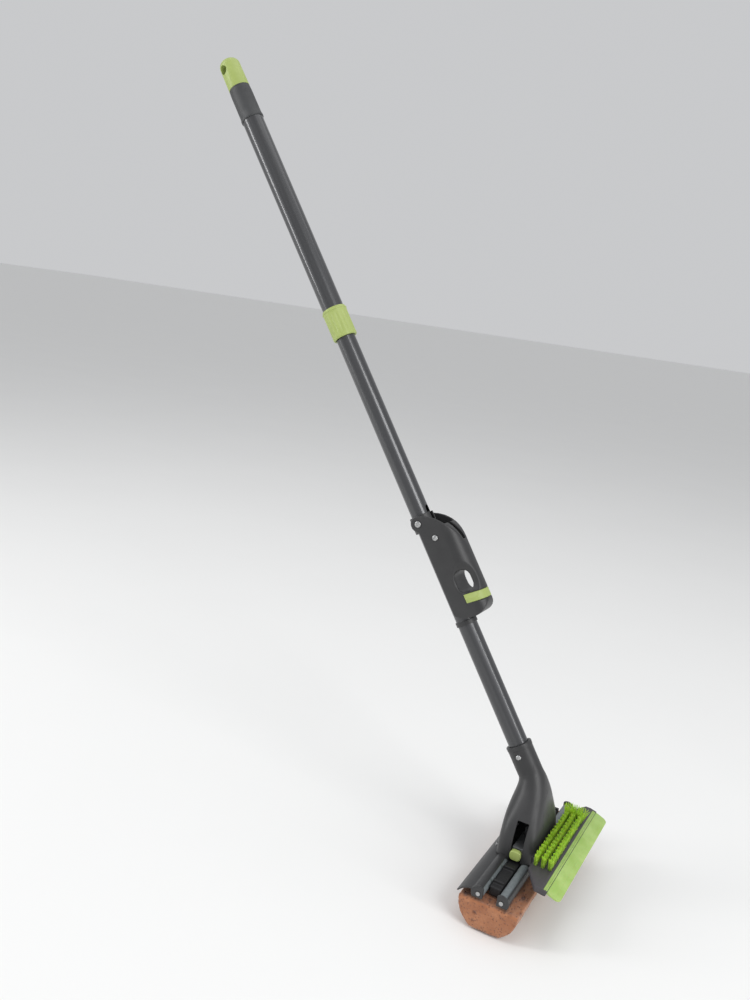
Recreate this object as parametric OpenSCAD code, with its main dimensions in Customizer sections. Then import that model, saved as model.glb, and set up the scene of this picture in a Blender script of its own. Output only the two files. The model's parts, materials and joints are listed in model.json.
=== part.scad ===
// Telescopic roller mop: a sponge wrung between two rollers by a lever on the
// pole, with a scrubbing brush and a squeegee blade on the front of the head.
// Origin: middle of the sponge's sole on the floor. X runs along the sponge,
// -Y is the front with brush, blade and lever, and the pole leans back to +Y.

/* [Pole] */
// Angle of the pole back from upright, in degrees
lean = 35; // [25:1:45]
// Height of the bend where the pole's axis meets the head's middle plane
bend_z = 124; // [120:1:140]
// Outer diameter of the lower tube
lower_d = 25; // [24:0.5:27]
// Wall of the lower tube
lower_wall = 1; // [0.8:0.1:1.5]
// Wall of the upper tube
upper_wall = 1.2; // [0.8:0.1:1.6]
// Gap between the two tubes, at the radius
tube_gap = 0.3; // [0.2:0.05:0.5]
// Length of the lower tube that is inside the upper tube, as drawn out
tube_overlap = 118; // [60:1:160]
// Length of the lower tube
lower_length = 731; // [660:5:735]
// Length of the upper tube
upper_length = 343; // [320:1:360]
// Turn of the upper tube about the pole's axis, in degrees
hang_turn = -22; // [-45:1:45]

/* [Grip and cap] */
// Length of the dark grip sleeve
grip_length = 47; // [40:1:60]
// Wall of the grip sleeve over the upper tube
grip_wall = 1.2; // [1:0.1:4]
// Length of the hanging cap
cap_length = 42; // [36:1:60]
// How far the hanging cap's skin lies inside the upper tube's
cap_inset = 0.2; // [0:0.1:1.5]
// Radius of the hanging hole
hang_hole_r = 6; // [4:0.5:7]
// Distance from the tip of the cap to the centre of the hanging hole
hang_hole_drop = 14; // [12:0.5:18]

/* [Lock collar] */
// Length of the twist collar
collar_length = 40.5; // [36:0.5:60]
// Wall of the twist collar over the upper tube
collar_wall = 2; // [1.7:0.1:4]
// Length of the collet under the upper tube
collet_length = 10; // [8:1:14]

/* [Lever] */
// Distance of the lever's fulcrum from the bend, along the pole
fulcrum_s = 357; // [300:1:380]
// Wall of the sleeve that the lever turns on
sleeve_wall = 3.1; // [2:0.1:4]
// Thickness of each cheek of the lever
cheek = 2.8; // [2.4:0.1:3.4]
// Length of the lever below its fulcrum
lever_length = 131; // [115:1:140]
// How far the crown of the lever stands in front of the pole's axis
lever_depth = 44; // [42:0.5:48]
// Radius of the finger loop's ends
loop_r = 9; // [8:0.5:9.5]
// Distance from the fulcrum to the drive pin
crank = 28; // [27:0.5:30]
// How far the drive pin's axis lies in front of the lower tube at rest
pin_gap = 1.92; // [1.8:0.02:2.6]
// Opening angle of the lever, in degrees
lever_open = 84; // [60:1:84]
// Diameter of the fulcrum pins and the drive pin
pin_d = 5; // [4:0.5:5]

/* [Pull rod and link] */
// Diameter of the pull rod
rod_d = 6; // [5:0.5:7]
// Distance of the clevis pin above the bend at rest, along the pole
clevis_s = -10; // [-12:0.5:-6]
// Length of the drive link between its pins
link_length = 45; // [44:0.5:48]
// Diameter of the pins at both ends of the drive link
link_pin_d = 4; // [3:0.5:4]

/* [Head] */
// Width of the head housing at its lower edge, along X
housing_w = 104; // [100:1:120]
// Depth of the head housing at its lower edge, along Y
housing_d = 48; // [47:0.5:54]
// How much further the housing's back stands out than its front
housing_bulge = 4; // [0:0.5:6]
// Wall of the housing
housing_wall = 2.5; // [2:0.1:3]
// Wall of the housing's neck round the lower tube
neck_wall = 3.3; // [2.8:0.1:5]
// Length of the neck above the bend
neck_length = 60; // [54:1:70]
// Height of the housing's lower edge above the floor
housing_z = 50; // [49:0.5:52]
// Width of the release button's slot
slot_w = 14.5; // [12:0.5:15]

/* [Rollers and sponge] */
// Length of the sponge
sponge_length = 270; // [250:2:300]
// Radius of the sponge's rounded underside
sponge_r = 38; // [36:0.5:40]
// Height of the sponge's widest line above its sole
sponge_mid = 34; // [32:0.5:35]
// Height of the sponge's top
sponge_top = 38; // [37:0.5:38.5]
// Radius of the rollers
roller_r = 6; // [5.5:0.1:6.2]
// Distance of each roller's axis from the middle plane
roller_y = 14; // [13.8:0.1:15]
// Height of the rollers' axes
roller_z = 45; // [45:0.5:46]
// Diameter of the roller axles
axle_d = 5; // [4:0.5:6]
// Thickness of the end cheeks that hold the axles
end_cheek = 3; // [2.5:0.5:4]

/* [Brush and blade] */
// Length of the brush and blade holder
holder_length = 220; // [180:2:260]
// Height of the holder's top face
holder_top = 68; // [66:0.5:70]
// How far the holder stands out in front of the housing
holder_out = 32; // [30:0.5:36]
// Length of the bristle rows
brush_length = 146; // [120:2:170]
// Distance between two bristle rows
row_pitch = 8.6; // [8:0.1:9]
// Length of the bristles above the holder
bristle_length = 13; // [8:0.5:16]
// Length of the squeegee blade
blade_length = 216; // [170:2:256]
// Free width of the squeegee blade
blade_free = 17; // [12:0.5:20]
// Thickness of the squeegee blade
blade_t = 3; // [2:0.5:3.5]
// Slope of the blade below level, in degrees
blade_slope = 20; // [10:1:25]

/* [Hidden] */
$fn = 64;
eps = 0.01;
// Radial clearance of pins that turn, and gap between parts that slide past each other
run = 0.05;
slip = 0.3;

dark = "#3c3d3f";
metal = "#4a4b4e";
lime = "#b4c96a";
steel = "#b9bbbe";
inner_grey = "#77787a";
sponge_colour = "#b8744a";

lower_r = lower_d / 2;
lower_bore_r = lower_r - lower_wall;
upper_bore_r = lower_r + tube_gap;
upper_r = upper_bore_r + upper_wall;
grip_d = 2 * (upper_r + grip_wall);
cap_d = 2 * (upper_r - cap_inset);
collar_d = 2 * (upper_r + collar_wall);
neck_d = 2 * (lower_r + neck_wall);

// Stations along the pole, measured from the bend
tube_s = 14;
lower_end_s = tube_s + lower_length;
upper_start_s = lower_end_s - tube_overlap;
upper_end_s = upper_start_s + upper_length;
tube_in_cap = 8;
cap_s = upper_end_s + tube_in_cap;
grip_s = cap_s - grip_length;
pole_length = cap_s + cap_length;
collet_s = upper_start_s - collet_length;
collar_lip = 2;
collar_s = collet_s - collar_lip - slip;
guide_length = 12;

// Lever and yoke
sleeve_play = 0.6;
sleeve_r = lower_r + sleeve_wall;
lever_in = sleeve_r + sleeve_play;
lever_w = 2 * (lever_in + cheek);
sleeve_low = -11;
sleeve_high = 10;
head_t = 1.8;
pin_head_d = 8.4;
crown_r = 60;
crown_s = -47;
loop_straight = 10;
loop_mid = -lever_length + 44.5;
loop_y = -lower_r - 3 - loop_r;
loop_low = loop_mid - loop_straight / 2 - loop_r;
drive_y = -lower_r - pin_gap;
crank_angle = asin(-drive_y / crank);
drive_s = -crank * cos(crank_angle);
rod_travel = crank * (cos(crank_angle) - cos(crank_angle + lever_open));
clevis_h = 16;
guide_s = clevis_s + clevis_h + rod_travel + 1;
screw_s = guide_s + 4;
function pin_lag(turn) = -crank * cos(crank_angle + turn) - drive_s - rod_travel * turn / lever_open;
yoke_lag = -min([for (i = [0:lever_open]) pin_lag(i)]);
yoke_wall = 3;
yoke_w = 7;
yoke_low = drive_s - pin_d / 2 - yoke_lag - slip;
yoke_high = drive_s + pin_d / 2 + slip;
yoke_near = -drive_y - pin_d / 2 - 0.4;
yoke_far = crank + pin_d / 2 + 0.4;
window_w = yoke_w + 1.4;
clip_s = fulcrum_s - lever_length - 7;
clip_h = 6;
clip_t = 1.4;

// Link and carrier
function link_tilt(s) = asin(s * sin(lean) / link_length);
function carrier_at(s) = s * cos(lean) - link_length * cos(link_tilt(s));
carrier_drop = -carrier_at(clevis_s);
carrier_travel = carrier_at(clevis_s + rod_travel) - carrier_at(clevis_s);
function link_error(t) = carrier_at(clevis_s + t * rod_travel) - carrier_at(clevis_s) - t * carrier_travel;
link_play = max([for (i = [0:20]) abs(link_error(i / 20))]) + 0.4;
link_t = 5;
link_w = 9;
ear_gap = link_t / 2 + slip;
ear_w = ear_gap + 3;
ear_r = 5;
rod_seat = 8;

// Head
button_h = 12;
button_z = housing_z + 2.3 + button_h / 2;
button_d = slot_w - 2 * 0.35;
button_travel = 3;
carrier_low = 53;
carrier_high = carrier_low + button_h;
carrier_d = button_d;
carrier_half = housing_w / 2 - 7.5;
post_r = 3;
post_x = carrier_half - 18;
post_high = carrier_low + 7;
spigot = 8.6;
slot_high = carrier_high + carrier_travel + 0.5;
cavity_d = housing_d - 2 * housing_wall;
back_y = housing_d / 2 + housing_bulge;
shoulder_z = 84;
shoulder_w = housing_w - 10;
waist_z = 104;
waist_w = 70;
waist_front = -housing_d / 2 + 8;
waist_back = back_y + 0.8;
blend_s = 8;
trough_in = roller_r + 0.6;
trough_out = trough_in + 2;
throat = roller_y - roller_r + 0.2;
frame_half = sponge_length / 2 - 2.5;
roller_half = frame_half - end_cheek - 0.5;
flange_top = 57;
backing_d = slot_w - 2 * 0.35;
backing_top = carrier_low - 0.1;
blade_in = 5;
holder_reach = housing_d / 2 + holder_out;

// ---- helpers -------------------------------------------------------------

module pole() {
    translate([0, 0, bend_z]) rotate([-lean, 0, 0]) children();
}

module on_pole(s) {
    pole() translate([0, 0, s]) children();
}

module tube(r_out, r_in, h) {
    difference() {
        cylinder(r = r_out, h = h);
        translate([0, 0, -1]) cylinder(r = r_in, h = h + 2);
    }
}

// A bar along X whose outline lies in the Y-Z plane
module along_x(length) {
    rotate([90, 0, 90]) translate([0, 0, -length / 2]) linear_extrude(length) children();
}

module rod_x(r, length) {
    rotate([0, 90, 0]) cylinder(r = r, h = length, center = true);
}

module block(x0, x1, y0, y1, z0, z1) {
    translate([x0, y0, z0]) cube([x1 - x0, y1 - y0, z1 - z0]);
}

module both_sides() {
    children();
    mirror([1, 0, 0]) children();
}

function arc(cx, cy, r, a0, a1, n) =
    [for (i = [0:n]) [cx + r * cos(a0 + (a1 - a0) * i / n), cy + r * sin(a0 + (a1 - a0) * i / n)]];

// ---- upper pole ----------------------------------------------------------

module hang_hole() {
    on_pole(pole_length - hang_hole_drop) rotate([0, 0, hang_turn]) rod_x(hang_hole_r, 2 * grip_d);
}

module hang_cap() {
    tip_r = cap_d / 2;
    dome = 9;
    color(lime) difference() {
        on_pole(0) union() {
            rotate_extrude() polygon(concat(
                [[0, cap_s], [tip_r + 0.4, cap_s], [tip_r, pole_length - dome]],
                [for (a = [10:10:80]) [tip_r - dome + dome * cos(a), pole_length - dome + dome * sin(a)]],
                [[tip_r - dome, pole_length], [0, pole_length]]));
            translate([0, 0, cap_s - 30]) cylinder(r = upper_bore_r, h = 31);
        }
        hang_hole();
    }
}

module grip_sleeve() {
    lip = 1.2;
    color(dark) on_pole(0) rotate_extrude() polygon([
        [upper_r, grip_s], [grip_d / 2 - lip, grip_s], [grip_d / 2, grip_s + lip],
        [grip_d / 2 - 0.2, cap_s - 2], [cap_d / 2 + 0.6, cap_s], [upper_bore_r, cap_s],
        [upper_bore_r, upper_end_s], [upper_r, upper_end_s]]);
}

module upper_tube() {
    color(metal) on_pole(upper_start_s) tube(upper_r, upper_bore_r, upper_length);
}

module collet() {
    color(inner_grey) on_pole(collet_s) difference() {
        tube(upper_r, upper_bore_r, collet_length);
        for (a = [0:60:300])
            rotate([0, 0, a]) block(0, upper_r + 1, -0.8, 0.8, -1, collet_length - 3);
    }
}

module lock_collar() {
    flutes = 12;
    body_r = collar_d / 2;
    color(lime) on_pole(collar_s) difference() {
        rotate_extrude() polygon([
            [upper_bore_r + 0.1, 0], [body_r - 1.2, 0], [body_r, 1.2], [body_r, collar_length - 4.5],
            [body_r + 0.7, collar_length - 3.4], [body_r + 0.7, collar_length - 1.4],
            [body_r - 0.5, collar_length], [upper_r + slip, collar_length],
            [upper_r + slip, collar_lip], [upper_bore_r + 0.1, collar_lip]]);
        for (i = [0:flutes - 1])
            rotate([0, 0, i * 360 / flutes]) translate([body_r + 3.1, 0, 6])
                cylinder(r = 3.6, h = collar_length - 13);
    }
}

// ---- lower pole ----------------------------------------------------------

module yoke_window(extra) {
    on_pole(fulcrum_s) block(-window_w / 2, window_w / 2, -lower_d, 0,
        yoke_low - yoke_wall - extra, yoke_high + yoke_wall + rod_travel + extra);
}

module lower_tube() {
    color(metal) difference() {
        on_pole(tube_s) tube(lower_r, lower_bore_r, lower_length);
        yoke_window(2);
        neck_screw_hole();
    }
}

module tube_top_plug() {
    color(inner_grey) on_pole(lower_end_s - 10) union() {
        cylinder(r = lower_bore_r, h = 10);
        translate([0, 0, 10]) cylinder(r = lower_r, h = 3);
    }
}

module pivot_sleeve() {
    color(dark) difference() {
        on_pole(fulcrum_s + sleeve_low) tube(sleeve_r, lower_r, sleeve_high - sleeve_low);
        yoke_window(8);
        on_pole(fulcrum_s) rod_x(pin_d / 2, lever_w);
    }
}

module fulcrum_pins() {
    color(steel) on_pole(fulcrum_s) both_sides() union() {
        translate([(lever_w / 2 + lower_r) / 2 + 0.15, 0, 0]) rod_x(pin_d / 2, lever_w / 2 - lower_r + 0.3);
        translate([lever_w / 2 + 0.2 + head_t / 2, 0, 0]) rod_x(pin_head_d / 2, head_t);
    }
}

module lever_clip() {
    color(dark) on_pole(clip_s) tube(lower_r + clip_t, lower_r, clip_h);
}

// ---- lever: outlines are (Y, distance along the pole) from the fulcrum ----

// The arc that the crown follows, from the straight front up to the ear
function crown(inset) =
    arc(crown_r - lever_depth, crown_s, crown_r - inset, 180, 110, 10);

module lever_side() {
    back = 4;
    ear_r = 10.5;
    foot_r = 20;
    polygon(concat(
        arc(0, 0, ear_r, 90, -66, 10),
        [[back, -ear_r], [back, -lever_length + 9], [back - 9, -lever_length + 1.5]],
        [[-lever_depth + 26, -lever_length]],
        arc(-lever_depth + foot_r, -lever_length + foot_r, foot_r, 270, 180, 8),
        crown(0)));
}

module lever_section(inset) {
    r = lever_w / 2 - inset;
    translate([0, -lever_depth + lever_w / 2]) circle(r = r);
    translate([-r, -lever_depth + lever_w / 2]) square([2 * r, lever_depth]);
}

// The lever's outer form, with a hollow for the fingers on each side of the loop
module lever_solid(inset) {
    scoop_r = 36;
    waist_half = 9;
    difference() {
        intersection() {
            along_x(lever_w + 2) lever_side();
            translate([0, 0, -lever_length - 1]) linear_extrude(lever_length + 30) lever_section(inset);
        }
        both_sides() translate([waist_half + scoop_r, -lever_depth + 5.5, loop_mid]) sphere(r = scoop_r + inset);
    }
}

module insert_band(length) {
    band_high = loop_low - 1.5;
    band_low = band_high - 11;
    band_back = -19;
    drop = 2.5;
    along_x(length) polygon([[band_back, band_low], [-lever_depth - 2, band_low - drop],
        [-lever_depth - 2, band_high - drop], [band_back, band_high]]);
}

module lever_loop() {
    along_x(lever_w + 4) union() {
        for (end = [-1, 1]) translate([loop_y, loop_mid + end * loop_straight / 2]) circle(r = loop_r);
        translate([loop_y - loop_r, loop_mid - loop_straight / 2]) square([2 * loop_r, loop_straight]);
    }
}

module lever_body() {
    web = lower_r + 1.2;
    pocket_low = -58;
    crown_top = -12;
    slot_half = yoke_w / 2 + 1;
    color(dark) on_pole(fulcrum_s) difference() {
        lever_solid(0);
        block(-lever_in, lever_in, -web, 20, -lever_length - 1, 20);
        block(-lever_in, lever_in, -lever_depth, 0, crown_top, 20);
        block(-slot_half, slot_half, -lever_depth, 0, drive_s - 14, 20);
        intersection() {
            lever_solid(cheek + 0.2);
            along_x(2 * lever_in) polygon(concat([[0, 20], [0, pocket_low], [3 - lever_depth, pocket_low]], crown(3)));
        }
        lever_loop();
        difference() {
            insert_band(lever_w + 2);
            lever_solid(2.4);
        }
        rod_x(pin_d / 2 + run, lever_w + 2);
        translate([0, drive_y, drive_s]) rod_x(pin_d / 2, lever_w + 2);
    }
}

module lever_insert() {
    color(lime) on_pole(fulcrum_s) difference() {
        intersection() {
            insert_band(lever_w + 2);
            lever_solid(0);
        }
        lever_solid(2.4);
        block(-lever_in, lever_in, -lower_r - 1.2, 20, -lever_length - 1, 20);
        lever_loop();
    }
}

module drive_pin() {
    color(steel) on_pole(fulcrum_s) translate([0, drive_y, drive_s]) union() {
        rod_x(pin_d / 2, lever_w + eps);
        both_sides() translate([lever_w / 2 + head_t / 2, 0, 0]) rod_x(pin_head_d / 2 - 0.4, head_t);
    }
}

// ---- pull rod, link and carrier ------------------------------------------

module rod_head() {
    body_low = yoke_low - yoke_wall;
    body_high = yoke_high + yoke_wall;
    color(inner_grey) on_pole(fulcrum_s) difference() {
        union() {
            translate([0, 0, body_low]) cylinder(r = lower_bore_r - 0.4, h = body_high - body_low);
            block(-yoke_w / 2, yoke_w / 2, -yoke_far - 2.4, 0, body_low, body_high);
        }
        block(-lever_w, lever_w, -yoke_far, -yoke_near, yoke_low, yoke_high);
        translate([0, 0, body_low - 1]) cylinder(r = rod_d / 2, h = body_high - body_low - 3);
    }
}

module pull_rod() {
    rod_low = clevis_s + rod_seat;
    rod_high = fulcrum_s + yoke_high + yoke_wall - 4;
    color(steel) on_pole(rod_low) cylinder(r = rod_d / 2, h = rod_high - rod_low);
}

module rod_guide() {
    color(inner_grey) difference() {
        on_pole(guide_s) tube(lower_bore_r, rod_d / 2 + run, guide_length);
        neck_screw_hole();
    }
}

module rod_clevis() {
    color(inner_grey) on_pole(clevis_s) difference() {
        union() {
            rod_x(ear_r, 2 * ear_w);
            block(-ear_w, ear_w, -ear_r, ear_r, 0, clevis_h);
        }
        block(-ear_gap, ear_gap, -ear_r - 1, ear_r + 1, -ear_r - 1, link_w / 2 + 2);
        rod_x(link_pin_d / 2, 2 * ear_w + 2);
        translate([0, 0, rod_seat]) cylinder(r = rod_d / 2, h = clevis_h);
    }
}

module clevis_pin() {
    color(steel) on_pole(clevis_s) rod_x(link_pin_d / 2, 2 * ear_w);
}

module at_clevis() {
    translate([0, clevis_s * sin(lean), bend_z + clevis_s * cos(lean)])
        rotate([-link_tilt(clevis_s), 0, 0]) children();
}

module drive_link() {
    color(steel) at_clevis() difference() {
        union() {
            rod_x(link_w / 2, link_t);
            block(-link_t / 2, link_t / 2, -link_w / 2, link_w / 2, -link_length - link_play, 0);
            translate([0, 0, -link_length - link_play]) rod_x(link_w / 2, link_t);
        }
        rod_x(link_pin_d / 2 + run, link_t + 2);
        for (end = [-1, 1]) translate([0, 0, -link_length + end * link_play]) rod_x(link_pin_d / 2 + 0.35, link_t + 2);
        block(-link_t, link_t, -link_pin_d / 2 - 0.35, link_pin_d / 2 + 0.35,
            -link_length - link_play, -link_length + link_play);
    }
}

module carrier() {
    eye_z = bend_z - carrier_drop;
    color(inner_grey) difference() {
        union() {
            block(-carrier_half, carrier_half, -carrier_d / 2, carrier_d / 2, carrier_low, carrier_high);
            block(-ear_w, ear_w, -ear_r, ear_r, carrier_low, eye_z);
            translate([0, 0, eye_z]) rod_x(ear_r, 2 * ear_w);
        }
        block(-ear_gap, ear_gap, -ear_r - 1, ear_r + 1, eye_z - link_w / 2 - link_play - 2.6, eye_z + ear_r + 1);
        translate([0, 0, eye_z]) rod_x(link_pin_d / 2, 2 * ear_w + 2);
        both_sides() union() {
            translate([carrier_half, 0, button_z]) cube([16, spigot, spigot], center = true);
            translate([post_x, 0, carrier_low - 1]) cylinder(r = post_r, h = post_high - carrier_low + 1 + slip);
        }
    }
}

module carrier_pin() {
    color(steel) translate([0, 0, bend_z - carrier_drop]) rod_x(link_pin_d / 2, 2 * ear_w);
}

module sponge_backing() {
    backing_half = roller_half - 14;
    rib_t = 3;
    plate_top = backing_top - 4;
    color(dark) union() {
        block(-backing_half, backing_half, -backing_d / 2, backing_d / 2, sponge_top, plate_top);
        for (x = [-105:35:105])
            translate([x, 0, 0]) block(-rib_t / 2, rib_t / 2, -backing_d / 2, backing_d / 2, plate_top - 1, backing_top);
        both_sides() translate([post_x, 0, plate_top - 2]) cylinder(r = post_r, h = post_high - plate_top + 2);
    }
}

module sponge() {
    color(sponge_colour) along_x(sponge_length) intersection() {
        translate([0, sponge_mid]) circle(r = sponge_r, $fn = 96);
        translate([-sponge_r, 0]) square([2 * sponge_r, sponge_top]);
    }
}

module button() {
    face_x = housing_w / 2 + 1.8;
    head_x = carrier_half + button_travel + 0.3;
    color(lime) union() {
        block(head_x, face_x, -button_d / 2, button_d / 2, button_z - button_h / 2, button_z + button_h / 2);
        translate([head_x - 3.5, 0, button_z]) cube([8, spigot - 2 * slip, spigot - 2 * slip], center = true);
    }
}

module left_button() {
    mirror([1, 0, 0]) button();
}

module right_button() {
    button();
}

// ---- head ----------------------------------------------------------------

module neck_screw_hole() {
    on_pole(screw_s) translate([-neck_d / 2 + 4, 0, 0]) rod_x(1.5, 16);
}

module neck_screw() {
    color(steel) on_pole(screw_s) union() {
        translate([-neck_d / 2 + 3.8, 0, 0]) rod_x(1.5, 8.4);
        translate([-neck_d / 2 - 0.7, 0, 0]) rod_x(3.2, 1.4);
    }
}

// A point on the neck's side line, as (Y, Z): y across the pole and s along it
function neck_point(y, s) = [y * cos(lean) + s * sin(lean), bend_z - y * sin(lean) + s * cos(lean)];

module housing_front() {
    neck_top = neck_point(-neck_d / 2, blend_s)[1];
    half = [[housing_w / 2, housing_z], [shoulder_w / 2, shoulder_z], [waist_w / 2, waist_z],
        [neck_d / 2 - eps, bend_z + 4], [neck_d / 2 - eps, neck_top + 1]];
    polygon(concat(half, [for (i = [len(half) - 1:-1:0]) [-half[i][0], half[i][1]]]));
}

module housing_side() {
    polygon([[-housing_d / 2, housing_z], [back_y, housing_z], [back_y + 0.2, shoulder_z],
        [waist_back, waist_z], neck_point(neck_d / 2 - eps, blend_s), neck_point(-neck_d / 2 + eps, blend_s),
        [waist_front, waist_z], [-housing_d / 2 + 2, shoulder_z]]);
}

module housing_shell() {
    intersection() {
        along_x(housing_w + 2) housing_side();
        rotate([90, 0, 0]) translate([0, 0, -housing_d]) linear_extrude(2 * housing_d) housing_front();
    }
}

module head_housing() {
    inner = cavity_d / 2;
    inner_half = housing_w / 2 - housing_wall;
    shoulder_half = shoulder_w / 2 - housing_wall;
    waist_half = waist_w / 2 - housing_wall - 2;
    link_back = ear_r + 6.5;
    color(dark) difference() {
        union() {
            housing_shell();
            on_pole(0) cylinder(r = neck_d / 2, h = neck_length);
        }
        rotate([90, 0, 0]) translate([0, 0, -inner]) linear_extrude(2 * inner)
            polygon([[-inner_half, housing_z - 1], [inner_half, housing_z - 1], [shoulder_half, shoulder_z],
                [-shoulder_half, shoulder_z]]);
        rotate([90, 0, 0]) translate([0, 0, -cavity_d / 2 + 2]) linear_extrude(cavity_d / 2 - waist_front - 7)
            polygon([[-shoulder_half, shoulder_z - 1], [shoulder_half, shoulder_z - 1],
                [waist_half, waist_z], [-waist_half, waist_z]]);
        on_pole(tube_s) cylinder(r = lower_r, h = neck_length);
        on_pole(-32) cylinder(r = lower_bore_r, h = 60);
        block(-ear_w - slip, ear_w + slip, -ear_r - 1, link_back, waist_z - 1, waist_z + 18);
        block(-housing_w, housing_w, -slot_w / 2, slot_w / 2, housing_z - 1, slot_high);
        for (y = [-roller_y, roller_y]) translate([0, y, roller_z]) rod_x(trough_out + 0.1, 2 * housing_w);
        neck_screw_hole();
        screw_places() rod_y(1.25, 12);
        holder_screw_places() rod_y(1.25, 14);
    }
}

module rod_y(r, length) {
    rotate([90, 0, 0]) cylinder(r = r, h = length, center = true);
}

module screw_places() {
    for (x = [-36, 36], y = [-housing_d / 2 + 3.5, back_y - 3.5]) translate([x, y, flange_top - 2.6]) children();
}

module rail_screws() {
    color(steel) screw_places() rod_y(1.25, 10);
    color(steel) for (x = [-36, 36], y = [-housing_d / 2 - 0.9, back_y + 0.9])
        translate([x, y, flange_top - 2.6]) rod_y(2.4, 1);
}

// One rail: a trough over its roller, ending in cheeks that hold the axle
module rail_outline(side, low_angle, high_angle) {
    difference() {
        circle(r = trough_out);
        circle(r = trough_in);
        polygon(concat([[0, 0]], [for (i = [0:20]) let (a = high_angle + (low_angle + 360 - high_angle) * i / 20)
            [20 * side * cos(a), 20 * sin(a)]]));
    }
}

module cheek_outline(side) {
    low = sponge_top + 1.3 - roller_z;
    inner = roller_y - throat - 0.2;
    intersection() {
        circle(r = trough_out + 0.5);
        translate([side > 0 ? -inner : inner - 20, low]) square(20);
    }
}

module rail(side, low_angle, high_angle) {
    translate([0, side * roller_y, roller_z]) difference() {
        union() {
            along_x(2 * (frame_half - end_cheek) + 1) rail_outline(side, low_angle, high_angle);
            both_sides() translate([frame_half - end_cheek / 2, 0, 0]) along_x(end_cheek) cheek_outline(side);
        }
        rod_x(axle_d / 2, 2 * frame_half + 2);
    }
}

// Half of the flange that fits inside the housing's skirt, cut away over its roller
module flange_half(side) {
    ear_top = flange_top + 6;
    taper = (housing_w - shoulder_w) / 2 * (ear_top - housing_z + 1) / (shoulder_z - housing_z + 1);
    half = housing_w / 2 - housing_wall - taper - slip;
    deep = cavity_d / 2 - 0.1;
    y0 = side > 0 ? throat + 0.2 : -deep;
    difference() {
        union() {
            block(-half, half, y0, y0 + deep - throat - 0.2, housing_z + 1, flange_top);
            both_sides() block(half - 6, half, y0, y0 + deep - throat - 0.2, housing_z + 1, ear_top);
        }
        translate([0, side * roller_y, roller_z]) rod_x(trough_in + 1, 2 * housing_w);
    }
}

module rail_with_flange(side, low_angle, high_angle) {
    color(dark) difference() {
        union() {
            rail(side, low_angle, high_angle);
            flange_half(side);
        }
        screw_places() rod_y(1.25, 12);
    }
}

module front_rail() {
    meets_flange = asin((housing_z + 1.6 - roller_z) / trough_out);
    rail_with_flange(-1, -20, meets_flange);
}

// Curved guard behind the rear roller, over the sponge's rear corner
module rear_guard() {
    guard_y = 19.5;
    guard_z = 25.3;
    guard_r = housing_z - 0.2 - guard_z;
    color(dark) along_x(2 * frame_half) intersection() {
        difference() {
            translate([guard_y, guard_z]) circle(r = guard_r);
            translate([guard_y, guard_z]) circle(r = guard_r - 2);
        }
        translate([guard_y, sponge_top + 1]) square(40);
    }
}

module rear_rail() {
    rail_with_flange(1, -20, 120);
    rear_guard();
}

module roller(y) {
    color(inner_grey) translate([0, y, roller_z]) difference() {
        rod_x(roller_r, 2 * roller_half);
        rod_x(axle_d / 2 + run, 2 * roller_half + 2);
    }
}

module front_roller() {
    roller(-roller_y);
}

module rear_roller() {
    roller(roller_y);
}

module axle(y) {
    color(steel) translate([0, y, roller_z]) rod_x(axle_d / 2, 2 * frame_half + 1);
}

module front_axle() {
    axle(-roller_y);
}

module rear_axle() {
    axle(roller_y);
}

// ---- brush and squeegee --------------------------------------------------

module at_blade() {
    translate([0, -holder_reach, holder_top - 4]) rotate([blade_slope, 0, 0]) children();
}

module accessory_holder() {
    front = -housing_d / 2 - 0.1;
    plate_t = 6;
    flange_t = 3;
    flange_half_w = 32;
    color(dark) difference() {
        union() {
            along_x(holder_length) polygon([[front - 0.4, holder_top - plate_t], [front - 0.4, holder_top],
                [-holder_reach + 7, holder_top], [-holder_reach - 1, holder_top - 2.2],
                [-holder_reach + 1, holder_top - 8.6], [-holder_reach + 9, holder_top - plate_t - 1.6]]);
            block(-flange_half_w, flange_half_w, front - flange_t, front, housing_z + 3, holder_top);
            for (x = [-30, 0, 30]) translate([x, 0, 0]) along_x(3) polygon([[front - 1, housing_z + 4],
                [front - 1, holder_top - 3], [-holder_reach + 10, holder_top - plate_t]]);
        }
        at_blade() block(-blade_length / 2, blade_length / 2, -1, blade_in, -blade_t / 2, blade_t / 2);
        block(-housing_w / 2 - 2, housing_w / 2 + 2, front, 0, housing_z, holder_top + 1);
        holder_screw_places() rod_y(1.25, 14);
        both_sides() translate([0, 0, housing_z]) linear_extrude(holder_top - housing_z + 1)
            polygon([[brush_length / 2 + 3, front + 1], [holder_length / 2 + 1, front + 1],
                [holder_length / 2 + 1, front - 18]]);
    }
}

module holder_screw_places() {
    for (x = [-20, 20]) translate([x, -housing_d / 2, flange_top + 2.2]) children();
}

module holder_screws() {
    color(steel) holder_screw_places() union() {
        rod_y(1.25, 10);
        translate([0, -4.1, 0]) rod_y(2.4, 1.8);
    }
}

module brush_bristles() {
    row_w = 6;
    color("#93c32f") for (i = [0:2])
        translate([0, -holder_reach + 9.5 + i * row_pitch, holder_top])
            block(-brush_length / 2, brush_length / 2, -row_w / 2, row_w / 2, 0, bristle_length);
}

module squeegee_blade() {
    corner = 6;
    color("#a9cb5c") at_blade() translate([0, 0, -blade_t / 2]) linear_extrude(blade_t) union() {
        translate([-blade_length / 2, -blade_free + corner]) square([blade_length, blade_free - corner + blade_in]);
        translate([-blade_length / 2 + corner, -blade_free]) square([blade_length - 2 * corner, corner + 1]);
        for (x = [-1, 1]) translate([x * (blade_length / 2 - corner), -blade_free + corner]) circle(r = corner);
    }
}

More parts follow.
